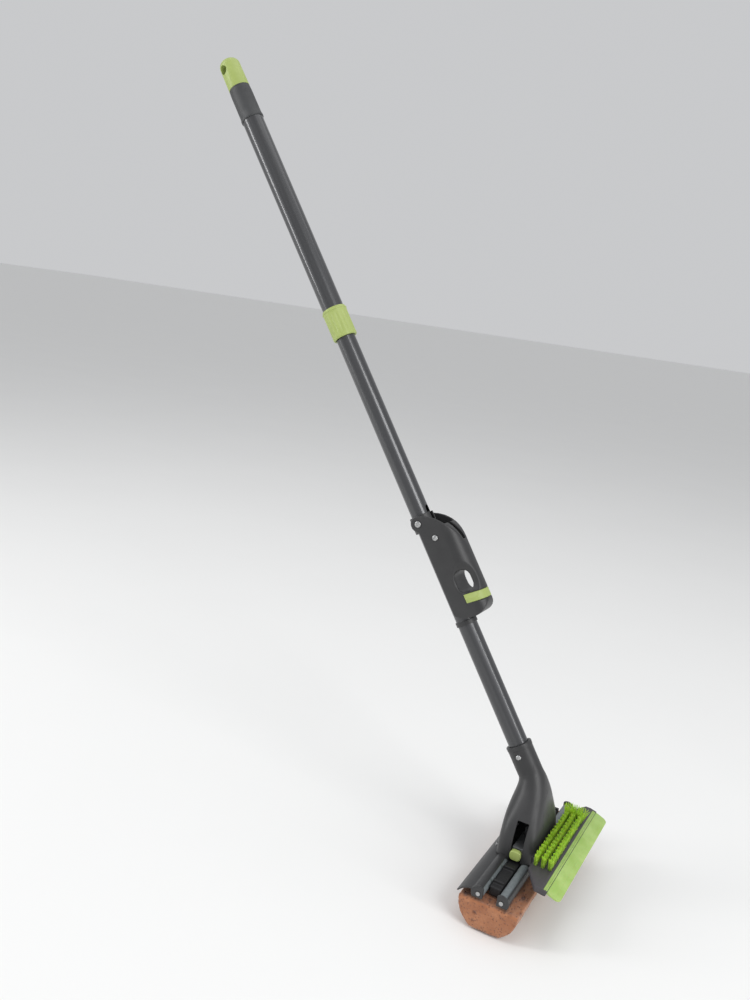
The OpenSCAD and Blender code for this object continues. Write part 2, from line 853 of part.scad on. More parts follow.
hang_cap();
grip_sleeve();
upper_tube();
collet();
lock_collar();
lower_tube();
tube_top_plug();
pivot_sleeve();
fulcrum_pins();
lever_body();
lever_insert();
drive_pin();
lever_clip();
rod_head();
pull_rod();
rod_guide();
rod_clevis();
clevis_pin();
drive_link();
head_housing();
neck_screw();
front_rail();
rear_rail();
rail_screws();
front_roller();
rear_roller();
front_axle();
rear_axle();
carrier();
carrier_pin();
sponge_backing();
sponge();
left_button();
right_button();
accessory_holder();
brush_bristles();
squeegee_blade();
holder_screws();
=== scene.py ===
import json
import math
import random

import bmesh
import bpy
from mathutils import Matrix, Vector, noise

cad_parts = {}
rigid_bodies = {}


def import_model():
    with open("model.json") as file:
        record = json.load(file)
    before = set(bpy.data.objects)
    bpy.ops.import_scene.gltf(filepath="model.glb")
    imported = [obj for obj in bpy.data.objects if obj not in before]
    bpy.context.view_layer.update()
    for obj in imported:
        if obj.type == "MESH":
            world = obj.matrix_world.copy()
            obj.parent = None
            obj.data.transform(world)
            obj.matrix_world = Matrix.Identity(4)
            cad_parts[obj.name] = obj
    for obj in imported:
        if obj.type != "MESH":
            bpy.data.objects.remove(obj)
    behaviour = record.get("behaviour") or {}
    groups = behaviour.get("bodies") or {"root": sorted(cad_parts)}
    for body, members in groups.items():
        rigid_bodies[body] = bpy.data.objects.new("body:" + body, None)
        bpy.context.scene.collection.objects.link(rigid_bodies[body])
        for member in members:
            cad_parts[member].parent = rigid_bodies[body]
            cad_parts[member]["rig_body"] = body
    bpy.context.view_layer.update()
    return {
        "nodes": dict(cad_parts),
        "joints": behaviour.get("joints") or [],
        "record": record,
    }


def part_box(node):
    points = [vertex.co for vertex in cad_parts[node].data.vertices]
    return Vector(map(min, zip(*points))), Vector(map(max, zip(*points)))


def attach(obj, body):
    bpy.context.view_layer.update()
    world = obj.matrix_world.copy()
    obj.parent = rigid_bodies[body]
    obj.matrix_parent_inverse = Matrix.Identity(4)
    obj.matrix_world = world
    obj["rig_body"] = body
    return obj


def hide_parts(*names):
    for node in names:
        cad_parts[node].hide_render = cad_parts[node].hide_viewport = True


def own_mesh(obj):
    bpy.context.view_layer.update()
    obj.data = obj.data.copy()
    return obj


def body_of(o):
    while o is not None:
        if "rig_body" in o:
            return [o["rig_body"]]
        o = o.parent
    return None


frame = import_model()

# Telescopic roller mop. Metres, in the frame's own axes: X along the sponge,
# -Y to the front with brush, blade and lever, and the pole leaning back to +Y.

MM = 0.001
ROUND = 96
scene = bpy.context.scene
nodes = frame["nodes"]
joints = {joint["name"]: joint for joint in frame["joints"]}
mounts = {mount["name"]: mount for mount in frame["record"]["mounts"]}
slot_of = {part["node"]: part["material_slot"] for part in frame["record"]["subparts"]}

# ---- the pole's own axis ------------------------------------------------------

ALONG = Vector(joints["telescope"]["axis"]).normalized()
FULCRUM = Vector(joints["lever_pull"]["pos_m"])
LEAN = math.atan2(ALONG.y, ALONG.z)
BEND = FULCRUM - ALONG * (FULCRUM.y / ALONG.y)
POLE = Matrix.Translation(BEND) @ Matrix.Rotation(-LEAN, 4, "X")


def span(node):
    """Lowest and highest station of a part along the pole, from the bend."""
    stations = [(vertex.co - BEND).dot(ALONG) for vertex in nodes[node].data.vertices]
    return min(stations), max(stations)


def reach(node):
    """Largest distance of a part from the pole's axis."""
    return max((vertex.co - BEND).cross(ALONG).length for vertex in nodes[node].data.vertices)


# ---- camera, floor and light --------------------------------------------------

CAMERA_PLACE = Vector((-1.0562, -0.2409, 0.6702))
CAMERA_BACK = Vector((-0.8793, -0.4319, 0.2006)).normalized()
CAMERA_UP = Vector((0.1153, 0.2157, 0.9696))
CAMERA_LENS = 33.4
SENSOR = 36.0


def place_camera():
    side = CAMERA_UP.cross(CAMERA_BACK).normalized()
    up = CAMERA_BACK.cross(side)
    data = bpy.data.cameras.new("studio_camera")
    data.lens = CAMERA_LENS
    data.sensor_width = SENSOR
    data.clip_start = 0.02
    data.clip_end = 300
    camera = bpy.data.objects.new("studio_camera", data)
    scene.collection.objects.link(camera)
    turn = Matrix((side, up, CAMERA_BACK)).transposed().to_4x4()
    camera.matrix_world = Matrix.Translation(CAMERA_PLACE) @ turn
    scene.camera = camera


def softbox(name, place, target, size, power, tint=(1, 1, 1)):
    data = bpy.data.lights.new(name, "AREA")
    data.shape = "RECTANGLE"
    data.size, data.size_y = size
    data.energy = power
    data.color = tint
    lamp = bpy.data.objects.new(name, data)
    scene.collection.objects.link(lamp)
    lamp.location = place
    lamp.rotation_euler = (Vector(target) - Vector(place)).to_track_quat("-Z", "Y").to_euler()


def light_studio():
    middle = (0, 0.3, 0.5)
    softbox("key", (-1.6, -2.2, 2.6), middle, (1.4, 1.4), 42)
    softbox("front_strip", (-0.6, -2.6, 0.9), middle, (0.5, 2.2), 20)
    softbox("rear_strip", (-1.3, 2.3, 1.3), middle, (0.4, 2.4), 30)
    softbox("top", (0.4, 0.2, 3.2), middle, (2.4, 2.4), 16)
    world = bpy.data.worlds.new("studio")
    scene.world = world
    world.use_nodes = True
    sky = world.node_tree.nodes["Background"]
    sky.inputs["Color"].default_value = (0.97, 0.98, 1, 1)
    sky.inputs["Strength"].default_value = 0.6
    scene.view_settings.view_transform = "Standard"


# ---- shader expressions -------------------------------------------------------


class Value:
    """A shader socket that adds Math nodes when it is used in an expression."""

    def __init__(self, finish, socket):
        self.finish = finish
        self.socket = socket

    def _math(self, operation, first, second):
        return self.finish.node("ShaderNodeMath", "Value", {"operation": operation}, {0: first, 1: second})

    def __add__(self, other):
        return self._math("ADD", self, other)

    def __radd__(self, other):
        return self._math("ADD", other, self)

    def __sub__(self, other):
        return self._math("SUBTRACT", self, other)

    def __rsub__(self, other):
        return self._math("SUBTRACT", other, self)

    def __mul__(self, other):
        return self._math("MULTIPLY", self, other)

    def __rmul__(self, other):
        return self._math("MULTIPLY", other, self)

    def __pow__(self, other):
        return self._math("POWER", self, other)


class Finish:
    """A material with one Principled shader, built from short calls."""

    def __init__(self, name, **constants):
        self.material = bpy.data.materials.new(name)
        self.material.use_nodes = True
        self.tree = self.material.node_tree
        self.shader = self.tree.nodes["Principled BSDF"]
        for socket, value in constants.items():
            self.shader.inputs[socket.replace("_", " ")].default_value = value
        self.place = self.node("ShaderNodeTexCoord", "Object")

    def node(self, kind, output, settings=None, inputs=None):
        made = self.tree.nodes.new(kind)
        for name, value in (settings or {}).items():
            setattr(made, name, value)
        for name, value in (inputs or {}).items():
            self.feed(made.inputs[name], value)
        return Value(self, made.outputs[output])

    def feed(self, socket, value):
        if isinstance(value, Value):
            self.tree.links.new(value.socket, socket)
        elif isinstance(value, tuple) and len(value) == 3 and socket.type == "RGBA":
            socket.default_value = (*value, 1)
        else:
            socket.default_value = value

    def stretched(self, scale, turn=(0, 0, 0)):
        """Object coordinates turned and stretched, for grain that runs one way."""
        return self.node("ShaderNodeMapping", "Vector", {"vector_type": "TEXTURE"},
                         {"Vector": self.place, "Rotation": turn, "Scale": scale})

    def clouds(self, scale, detail=3.0, roughness=0.55, where=None):
        inputs = {"Vector": where or self.place, "Scale": scale, "Detail": detail, "Roughness": roughness}
        return self.node("ShaderNodeTexNoise", "Fac", None, inputs)

    def cells(self, scale, where=None, feature="F1"):
        return self.node("ShaderNodeTexVoronoi", "Distance", {"feature": feature},
                         {"Vector": where or self.place, "Scale": scale})

    def ramp(self, value, low, high):
        """0 below low, 1 above high, and straight between."""
        return self.node("ShaderNodeMapRange", "Result", {"clamp": True},
                         {"Value": value, "From Min": low, "From Max": high, "To Min": 0.0, "To Max": 1.0})

    def mix(self, share, first, second):
        made = self.tree.nodes.new("ShaderNodeMix")
        made.data_type = "RGBA"
        self.feed(made.inputs["Factor"], share)
        self.feed(made.inputs[6], first)
        self.feed(made.inputs[7], second)
        return Value(self, made.outputs[2])

    def relief(self, height, depth):
        """Bump of the given depth, in metres."""
        bump = self.node("ShaderNodeBump", "Normal", None,
                         {"Height": height, "Strength": 1.0, "Distance": depth})
        self.feed(self.shader.inputs["Normal"], bump)

    def colour(self, value):
        self.feed(self.shader.inputs["Base Color"], value)

    def roughness(self, value):
        self.feed(self.shader.inputs["Roughness"], value)


def moulded_plastic(name, base, light, gloss=0.36, grain=0.00003):
    """Satin moulding: a fine spark texture, faint flow marks and handling scuffs."""
    finish = Finish(name, IOR=1.49, Specular_IOR_Level=0.5)
    flow = finish.clouds(18, 4)
    speck = finish.clouds(1400, 2, 0.7)
    scuff = finish.ramp(finish.clouds(70, 5, 0.7, finish.stretched((1, 0.35, 2.2))), 0.56, 0.72)
    finish.colour(finish.mix(finish.ramp(flow * 0.8 + speck * 0.2, 0.35, 0.7), base, light))
    finish.roughness(gloss + 0.1 * flow + 0.16 * scuff)
    finish.relief(speck + 0.4 * flow, grain)
    return finish.material


def lacquered_tube(name):
    """Dark metallic lacquer over a drawn tube: long faint draw lines and flake."""
    finish = Finish(name, Metallic=0.55, Coat_IOR=1.5, Coat_Roughness=0.08)
    finish.feed(finish.shader.inputs["Coat Weight"], 0.5)
    drawn = finish.clouds(160, 3, 0.6, finish.stretched((1, 1, 60), (-LEAN, 0, 0)))
    flake = finish.cells(2600)
    spark = finish.ramp(drawn * 0.7 + flake * 0.5, 0.3, 0.8)
    finish.colour(finish.mix(spark, (0.036, 0.037, 0.039), (0.075, 0.076, 0.08)))
    finish.roughness(0.25 + 0.14 * drawn)
    finish.relief(drawn, 0.00002)
    return finish.material


def plated_steel(name):
    """Bright zinc plate with fine turning marks and dull spots."""
    finish = Finish(name, Metallic=1.0)
    dull = finish.clouds(220, 4)
    finish.colour(finish.mix(dull, (0.34, 0.345, 0.355), (0.55, 0.55, 0.54)))
    finish.roughness(0.2 + 0.24 * dull)
    finish.relief(finish.clouds(1800, 2), 0.00002)
    return finish.material


def open_sponge(name):
    """Cellulose sponge: broken pores of two sizes with painted shade inside them, drawn streaks and paler dry
    patches.
    """
    finish = Finish(name, Sheen_Weight=0.25, Sheen_Roughness=0.6, Specular_IOR_Level=0.25)
    streak = finish.stretched((2.2, 1, 1))
    patches = finish.clouds(30, 5, 0.62, streak)
    fibres = finish.clouds(420, 5, 0.7, finish.stretched((2.8, 1, 1)))
    ragged = finish.clouds(170, 4, 0.7, streak)
    large = finish.ramp(finish.cells(95, streak) + 0.55 * ragged, 0.3, 0.56)
    small = finish.ramp(finish.cells(330, streak) + 0.3 * fibres, 0.22, 0.5)
    body = finish.mix(finish.ramp(patches, 0.36, 0.64), (0.24, 0.078, 0.03), (0.47, 0.21, 0.1))
    body = finish.mix(finish.ramp(fibres, 0.3, 0.75), body, (0.33, 0.125, 0.052))
    # The pores' insides are painted darker: painted shade in the pore recesses.
    body = finish.mix(small, (0.14, 0.043, 0.018), body)
    finish.colour(finish.mix(large, (0.1, 0.03, 0.013), body))
    finish.roughness(0.88 - 0.1 * fibres)
    finish.relief(large * 1.1 + small * 0.5 + fibres * 0.3, 0.0009)
    return finish.material


def nylon(name):
    """Bristle nylon, with painted shade darkening it towards the root between the tufts, so it is brighter at
    the cut tips.
    """
    finish = Finish(name, IOR=1.53, Subsurface_Weight=0.12, Subsurface_Scale=0.002)
    height = finish.node("ShaderNodeSeparateXYZ", "Z", None, {"Vector": finish.place})
    low, high = (corner.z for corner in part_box("brush_bristles"))
    tip = finish.ramp(height, low, high)
    mottle = finish.clouds(240, 2)
    # Dark root rising to bright tips by height: painted shade down between the tufts.
    root_shaded_tone = finish.mix(tip, (0.045, 0.1, 0.006), (0.42, 0.72, 0.035))
    finish.colour(finish.mix(finish.ramp(mottle, 0.4, 0.8), root_shaded_tone, (0.46, 0.7, 0.08)))
    finish.roughness(0.3 + 0.2 * mottle)
    return finish.material


def soft_rubber(name):
    """Wiper rubber: matt, with a faint bloom and lines along its length."""
    finish = Finish(name, IOR=1.5, Subsurface_Weight=0.06, Subsurface_Scale=0.003)
    bloom = finish.clouds(30, 5, 0.65)
    lines = finish.clouds(500, 2, 0.5, finish.stretched((40, 1, 1)))
    finish.colour(finish.mix(finish.ramp(bloom, 0.38, 0.68), (0.31, 0.47, 0.105), (0.41, 0.56, 0.18)))
    finish.roughness(0.46 + 0.18 * bloom)
    finish.relief(lines + bloom, 0.00006)
    return finish.material


def pressed_foam(name):
    """Grey foam skin of the wringing rollers, faintly ribbed round the axle."""
    finish = Finish(name, Specular_IOR_Level=0.4)
    ribs = finish.node("ShaderNodeTexWave", "Fac", {"bands_direction": "X"},
                       {"Vector": finish.place, "Scale": 90.0, "Distortion": 0.4})
    mottle = finish.clouds(300, 4)
    finish.colour(finish.mix(mottle, (0.1, 0.115, 0.12), (0.21, 0.235, 0.245)))
    finish.roughness(0.4 + 0.25 * mottle)
    finish.relief(ribs * 0.5 + mottle, 0.00012)
    return finish.material


CHARCOAL = moulded_plastic("charcoal_plastic", (0.022, 0.022, 0.023), (0.037, 0.037, 0.038))
# Near-black plastic for the sponge backing: painted shade between the rollers.
BACKING_PAINTED_SHADE = moulded_plastic("backing_plastic", (0.008, 0.008, 0.009), (0.014, 0.014, 0.015), 0.5)
HOLDER_GREY = moulded_plastic("smoke_plastic", (0.038, 0.034, 0.038), (0.066, 0.06, 0.066), 0.42)
GRIP_GREY = moulded_plastic("grip_rubber", (0.033, 0.034, 0.036), (0.052, 0.054, 0.056), 0.5, 0.00006)
LIME = moulded_plastic("lime_plastic_skin", (0.31, 0.385, 0.1), (0.39, 0.465, 0.155), 0.38)
GREY = moulded_plastic("grey_plastic_skin", (0.14, 0.145, 0.15), (0.21, 0.215, 0.22), 0.4)
FOAM = pressed_foam("roller_foam")
FINISHES = {
    "dark_plastic": CHARCOAL,
    "lime_plastic": LIME,
    "grey_plastic": GREY,
    "dark_tube": lacquered_tube("tube_lacquer"),
    "steel": plated_steel("zinc_plate"),
    "sponge": open_sponge("sponge_cell"),
    "bristle": nylon("bristle_nylon"),
    "blade": soft_rubber("blade_rubber"),
}


# ---- making pieces ------------------------------------------------------------


def add_mesh(name, form):
    mesh = bpy.data.meshes.new(name)
    form.to_mesh(mesh)
    form.free()
    made = bpy.data.objects.new(name, mesh)
    scene.collection.objects.link(made)
    return made


def settle(made):
    """Applies a piece's modifiers to its mesh."""
    graph = bpy.context.evaluated_depsgraph_get()
    mesh = bpy.data.meshes.new_from_object(made.evaluated_get(graph))
    made.modifiers.clear()
    made.data = mesh


def carve(made, form):
    """Cuts a closed form out of a piece."""
    cutter = add_mesh("cutter", form)
    cut = made.modifiers.new("cut", "BOOLEAN")
    cut.operation = "DIFFERENCE"
    cut.solver = "EXACT"
    cut.object = cutter
    settle(made)
    bpy.data.objects.remove(cutter)


def soften(made, width, segments=3, limit=35):
    """Rounds the sharp edges of a piece."""
    edge = made.modifiers.new("edge", "BEVEL")
    edge.width = width
    edge.segments = segments
    edge.limit_method = "ANGLE"
    edge.angle_limit = math.radians(limit)
    settle(made)


def assemble(made, *stands_for, material=None, crease=38):
    """Gives a finished piece its material, by default the one for its node's slot, and its body, and hides
    what it stands for.
    """
    node = stands_for[0]
    mesh = made.data
    mesh.materials.clear()
    mesh.materials.append(material or FINISHES[slot_of[node]])
    mesh.polygons.foreach_set("use_smooth", [True] * len(mesh.polygons))
    mesh.set_sharp_from_angle(angle=math.radians(crease))
    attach(made, body_of(nodes[node])[0])
    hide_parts(*stands_for)
    return made


def arc(cx, cy, radius, start, end, steps=6):
    """Points of an arc, with its angles in degrees."""
    turns = [math.radians(start + (end - start) * i / steps) for i in range(steps + 1)]
    return [(cx + radius * math.cos(turn), cy + radius * math.sin(turn)) for turn in turns]


def lathe(profile, closed=True, segments=ROUND):
    """A form turned about Z from (radius, height) points."""
    form = bmesh.new()
    points = [form.verts.new((radius, 0, height)) for radius, height in profile]
    edges = [form.edges.new(pair) for pair in zip(points, points[1:])]
    if closed:
        edges.append(form.edges.new((points[-1], points[0])))
    bmesh.ops.spin(form, geom=points + edges, cent=(0, 0, 0), axis=(0, 0, 1), angle=math.tau,
                   steps=segments, use_merge=True)
    bmesh.ops.remove_doubles(form, verts=form.verts, dist=MM * 0.001)
    bmesh.ops.recalc_face_normals(form, faces=form.faces)
    return form


def prism(outline, low, high):
    """A closed outline in X-Y drawn up from low to high."""
    form = bmesh.new()
    face = form.faces.new([form.verts.new((x, y, low)) for x, y in outline])
    raised = bmesh.ops.extrude_face_region(form, geom=[face])
    tops = [item for item in raised["geom"] if isinstance(item, bmesh.types.BMVert)]
    bmesh.ops.translate(form, verts=tops, vec=(0, 0, high - low))
    bmesh.ops.recalc_face_normals(form, faces=form.faces)
    return form


def along_x(form, shift=(0, 0, 0)):
    """Lays a form whose outline is (Y, Z) and whose height is X."""
    turn = Matrix(((0, 0, 1), (1, 0, 0), (0, 1, 0))).to_4x4()
    bmesh.ops.transform(form, verts=form.verts, matrix=turn)
    bmesh.ops.translate(form, verts=form.verts, vec=shift)
    bmesh.ops.recalc_face_normals(form, faces=form.faces)
    return form


def on_pole(form, station=0.0):
    bmesh.ops.transform(form, verts=form.verts, matrix=POLE @ Matrix.Translation((0, 0, station)))
    return form


def moulded(node, cell, keep, rounds=4, material=None):
    """A part of the frame with its edges rounded as a moulding's are."""
    form = bmesh.new()
    form.from_mesh(nodes[node].data)
    bmesh.ops.remove_doubles(form, verts=form.verts, dist=MM * 0.005)
    made = add_mesh(node + "_moulding", form)
    cast = made.modifiers.new("cast", "REMESH")
    cast.mode = "VOXEL"
    cast.voxel_size = cell
    polish = made.modifiers.new("polish", "CORRECTIVE_SMOOTH")
    polish.use_only_smooth = True
    polish.iterations = rounds
    thin = made.modifiers.new("thin", "DECIMATE")
    thin.ratio = keep
    settle(made)
    return assemble(made, node, material=material, crease=60)


# ---- pole, collar, grip and cap -----------------------------------------------


def tube_piece(name, node, wall):
    low, high = span(node)
    outer = reach(node)
    edge = 0.3 * MM
    profile = [(outer - wall, low + edge), (outer - wall, high - edge), (outer - wall + edge, high),
               (outer - edge, high), (outer, high - edge), (outer, low + edge), (outer - edge, low),
               (outer - wall + edge, low)]
    assemble(add_mesh(name, on_pole(lathe(profile))), node)


def lower_tube_piece():
    """The inner tube, with the slot that the pull rod's head runs in."""
    low, high = span("lower_tube")
    outer = reach("lower_tube")
    wall = 1.0 * MM
    profile = [(outer - wall, low), (outer - wall, high), (outer, high), (outer, low)]
    made = add_mesh("inner_pole", on_pole(lathe(profile)))
    head_low, head_high = span("rod_head")
    travel = joints["rod_lift"]["range_m"][1]
    half = 4.2 * MM
    slot = arc(0, 0, half, 0, 180, 8)
    margin = 2 * MM
    outline = [(x, head_high + travel - half + margin + y) for x, y in slot]
    outline += [(-x, head_low + half - margin - y) for x, y in slot]
    form = prism(outline, 0, 2 * outer)
    bmesh.ops.rotate(form, verts=form.verts, cent=(0, 0, 0), matrix=Matrix.Rotation(math.radians(90), 3, "X"))
    carve(made, on_pole(form))
    assemble(made, "lower_tube")


def lock_collar_piece():
    """Twist collar: a soft top lip and twelve shallow finger flutes."""
    low, high = span("lock_collar")
    bore = reach("upper_tube") + 0.3 * MM
    rim = reach("lock_collar")
    body = rim - 0.7 * MM
    length = high - low
    profile = [(bore, 2 * MM), (bore - 1.2 * MM, 1.8 * MM), (bore - 1.2 * MM, 0.4 * MM)]
    profile += arc(body - 1.6 * MM, 1.6 * MM, 1.6 * MM, -90, 0, 5)
    profile += [(body, 5 * MM + i * (length - 12 * MM) / 8) for i in range(9)]
    profile += [(body, length - 5.6 * MM)] + arc(rim - 1.3 * MM, length - 3 * MM, 1.3 * MM, -60, 70, 8)
    profile += arc(bore + 1 * MM, length - 1 * MM, 1 * MM, 80, 180, 5)
    form = lathe(profile, segments=144)
    flutes = 12
    depth = 0.9 * MM
    plain = 4 * MM
    for vertex in form.verts:
        radius = math.hypot(vertex.co.x, vertex.co.y)
        if radius < bore + 1.5 * MM:
            continue
        below = min(max((vertex.co.z - plain) / plain, 0), 1)
        above = min(max((length - 1.5 * plain - vertex.co.z) / plain, 0), 1)
        rise = below * above
        wave = 0.5 + 0.5 * math.cos(flutes * math.atan2(vertex.co.y, vertex.co.x))
        share = 1 - depth * rise * wave ** 2 / radius
        vertex.co.x *= share
        vertex.co.y *= share
    assemble(add_mesh("twist_collar", on_pole(form, low)), "lock_collar")


def grip_piece():
    """Dark end sleeve with a rolled lower rim and a step under the cap."""
    low, high = span("grip_sleeve")
    outer = reach("grip_sleeve")
    bore = reach("upper_tube")
    profile = [(bore, low + 1 * MM)] + arc(outer - 1.2 * MM, low + 1.2 * MM, 1.2 * MM, -110, 0, 6)
    profile += [(outer, low + 3.4 * MM), (outer - 0.6 * MM, low + 4.2 * MM)]
    profile += [(outer - 0.7 * MM, low + 12 * MM), (outer - 0.8 * MM, high - 8 * MM)]
    profile += [(outer - 1.0 * MM, high - 3 * MM), (outer - 1.6 * MM, high - 0.6 * MM), (bore, high)]
    assemble(add_mesh("end_grip", on_pole(lathe(profile))), "grip_sleeve", material=GRIP_GREY)


def hang_cap_piece():
    """Lime end cap with a rounded tip and the hole that it hangs by."""
    low = span("grip_sleeve")[1] - 0.2 * MM
    tip = span("hang_cap")[1]
    outer = reach("hang_cap")
    dome = 9 * MM
    inner = 8 * MM
    profile = [(0, low - 6 * MM), (inner, low - 6 * MM), (inner, low), (outer - 0.8 * MM, low)]
    profile += [(outer, low + 0.8 * MM), (outer - 0.4 * MM, tip - dome - 6 * MM)]
    profile += arc(outer - 0.4 * MM - dome, tip - dome, dome, 0, 90, 14) + [(0, tip)]
    made = add_mesh("end_cap", on_pole(lathe(profile, closed=False)))
    hole = mounts["hang_hole"]
    radius = hole["dims"]["r_mm"] * MM
    form = bmesh.new()
    turn = Vector(hole["axis"]).to_track_quat("Z", "Y").to_matrix().to_4x4()
    bmesh.ops.create_cone(form, cap_ends=True, segments=48, radius1=radius, radius2=radius, depth=3 * outer,
                          matrix=Matrix.Translation(hole["pos_m"]) @ turn)
    carve(made, form)
    soften(made, 0.7 * MM, 3, 40)
    assemble(made, "hang_cap")


# ---- fasteners ------------------------------------------------------------------


def head_form(radius, height, shank, depth):
    """A turned fastener along Z: domed head with a dimple, and its shank below."""
    profile = [(0, height * 0.55), (radius * 0.34, height * 0.55), (radius * 0.42, height * 0.95)]
    profile += [(radius * 0.62, height), (radius * 0.86, height * 0.8), (radius, height * 0.36), (radius, 0)]
    profile += [(shank, 0), (shank, -depth), (0, -depth)]
    return lathe(profile, closed=False, segments=32)


def stud_set(name, node, places, radius, height, shank, depth):
    """Fasteners at (point, outward direction) places, joined as one piece."""
    whole = bmesh.new()
    for point, outward in places:
        form = head_form(radius, height, shank, depth)
        turn = Vector(outward).to_track_quat("Z", "Y").to_matrix().to_4x4()
        bmesh.ops.transform(form, verts=form.verts, matrix=Matrix.Translation(point) @ turn)
        part = bpy.data.meshes.new("stud")
        form.to_mesh(part)
        form.free()
        whole.from_mesh(part)
        bpy.data.meshes.remove(part)
    assemble(add_mesh(name, whole), node)


def pin_places(node):
    """Centres of the two outer faces of a cross pin, and their directions."""
    low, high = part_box(node)
    middle = (low + high) / 2
    right = Vector((high.x, middle.y, middle.z))
    left = Vector((low.x, middle.y, middle.z))
    return [(right, (1, 0, 0)), (left, (-1, 0, 0))]


def fasteners():
    head = 1.8 * MM
    for name, node, radius in (("pivot_rivets", "fulcrum_pins", 4.2), ("lever_rivets", "drive_pin", 3.8)):
        depth = 3.0 * MM if node == "fulcrum_pins" else 17 * MM
        places = [(point - Vector(outward) * head, outward) for point, outward in pin_places(node)]
        stud_set(name, node, places, radius * MM, head, 2.5 * MM, depth)
    low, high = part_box("neck_screw")
    middle = (low + high) / 2
    stud_set("neck_screw_head", "neck_screw", [((low.x + 1.4 * MM, middle.y, middle.z), (-1, 0, 0))],
             3.2 * MM, 1.4 * MM, 1.5 * MM, 6 * MM)
    low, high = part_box("rail_screws")
    inset = 2.4 * MM
    places = [((x, y, (low.z + high.z) / 2), (0, math.copysign(1, y), 0))
              for x in (low.x + inset, high.x - inset) for y in (low.y + 1 * MM, high.y - 1 * MM)]
    stud_set("rail_screw_heads", "rail_screws", places, 2.4 * MM, 1.0 * MM, 1.2 * MM, 5 * MM)
    low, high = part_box("holder_screws")
    places = [((x, low.y + 1.8 * MM, (low.z + high.z) / 2), (0, -1, 0))
              for x in (low.x + inset, high.x - inset)]
    stud_set("holder_screw_heads", "holder_screws", places, 2.4 * MM, 1.8 * MM, 1.2 * MM, 8 * MM)


# ---- head housing ---------------------------------------------------------------

# Sections of the housing from its skirt up to its neck, in millimetres: the front point and
# the back point as (Y, Z) each, then the half width and the squareness of the corners.
SECTIONS = [
    (-24, 50, 28, 50, 51.5, 5.5),
    (-23.8, 60, 28.2, 60, 50.8, 5.2),
    (-23.2, 70, 28.4, 70, 49.6, 4.8),
    (-22.2, 80, 28.6, 79, 47.6, 4.3),
    (-20.8, 90, 28.8, 87, 44.6, 3.9),
    (-18.8, 100, 28.8, 94.5, 40.6, 3.5),
    (-17, 110, 28.5, 101, 35.8, 3.1),
    (-14.8, 120, 27.8, 107.5, 30.6, 2.8),
    (-12.2, 129, 26.8, 114, 26, 2.5),
    (-9.2, 136.5, 25.6, 120.5, 22, 2.3),
    (-5.6, 143.7, 24.8, 127.5, 18.6, 2.1),
]
# Stations along the pole and radii of the neck and of the lip at its end.
NECK = [(22, 15.8), (30, 15.8), (52, 15.8), (55, 16.2), (59.2, 16.3), (60, 15.6)]
WALL = 2.5 * MM


def between(a, b, c, d, t):
    """The value a share t of the way from b to c, on a smooth curve that passes a and d."""
    return b + 0.5 * t * (c - a + t * (2 * a - 5 * b + 4 * c - d + t * (3 * (b - c) + d - a)))


def housing_sections():
    """The drawn sections and the neck's rings, with four smooth steps from each to the next."""
    drawn = list(SECTIONS)
    for station, radius in NECK:
        front = POLE @ Vector((0, -radius * MM, station * MM)) / MM
        back = POLE @ Vector((0, radius * MM, station * MM)) / MM
        drawn.append((front.y, front.z, back.y, back.z, radius, 2))
    steps = 4
    sections = []
    for i in range(len(drawn) - 1):
        before = drawn[max(i - 1, 0)]
        after = drawn[min(i + 2, len(drawn) - 1)]
        for j in range(steps):
            rows = zip(before, drawn[i], drawn[i + 1], after)
            sections.append([between(*row, j / steps) for row in rows])
    return sections + [drawn[-1]]


def section_point(section, angle, inset):
    """A point of a rounded-rectangle section at an angle, moved inwards by inset."""
    front_y, front_z, back_y, back_z, half_width, square = section
    front = Vector((0, front_y, front_z)) * MM
    back = Vector((0, back_y, back_z)) * MM
    half_depth = (back - front).length / 2
    across = math.cos(angle)
    deep = math.sin(angle)
    x = math.copysign(abs(across) ** (2 / square), across) * (half_width * MM - inset)
    y = math.copysign(abs(deep) ** (2 / square), deep) * (half_depth - inset)
    return (front + back) / 2 + (back - front).normalized() * y + Vector((x, 0, 0))


def housing_piece():
    """Bell-shaped housing: outer skin up to the neck's lip, and back down inside."""
    outer = [(section, 0.0) for section in housing_sections()]
    inner = [(section, WALL) for section, _ in reversed(outer)]
    rows = outer + inner
    form = lathe([(1.0, float(i)) for i in range(len(rows))], segments=ROUND)
    for vertex in form.verts:
        section, inset = rows[round(vertex.co.z)]
        vertex.co = section_point(section, math.atan2(vertex.co.y, vertex.co.x), inset)
    bmesh.ops.recalc_face_normals(form, faces=form.faces)
    made = add_mesh("head_shell", form)
    low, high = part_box("left_button")
    half = (high.y - low.y) / 2 + 0.35 * MM
    top = 97.2 * MM
    corner = 1.0 * MM
    outline = [(-half, 40 * MM), (half, 40 * MM)]
    outline += arc(half - corner, top - corner, corner, 0, 90, 6)
    outline += arc(-half + corner, top - corner, corner, 90, 180, 6)
    for side in (-1, 1):
        first, last = sorted((side * 30 * MM, side * 60 * MM))
        carve(made, along_x(prism(outline, first, last)))
    soften(made, 0.8 * MM, 3, 40)
    assemble(made, "head_housing", crease=50)


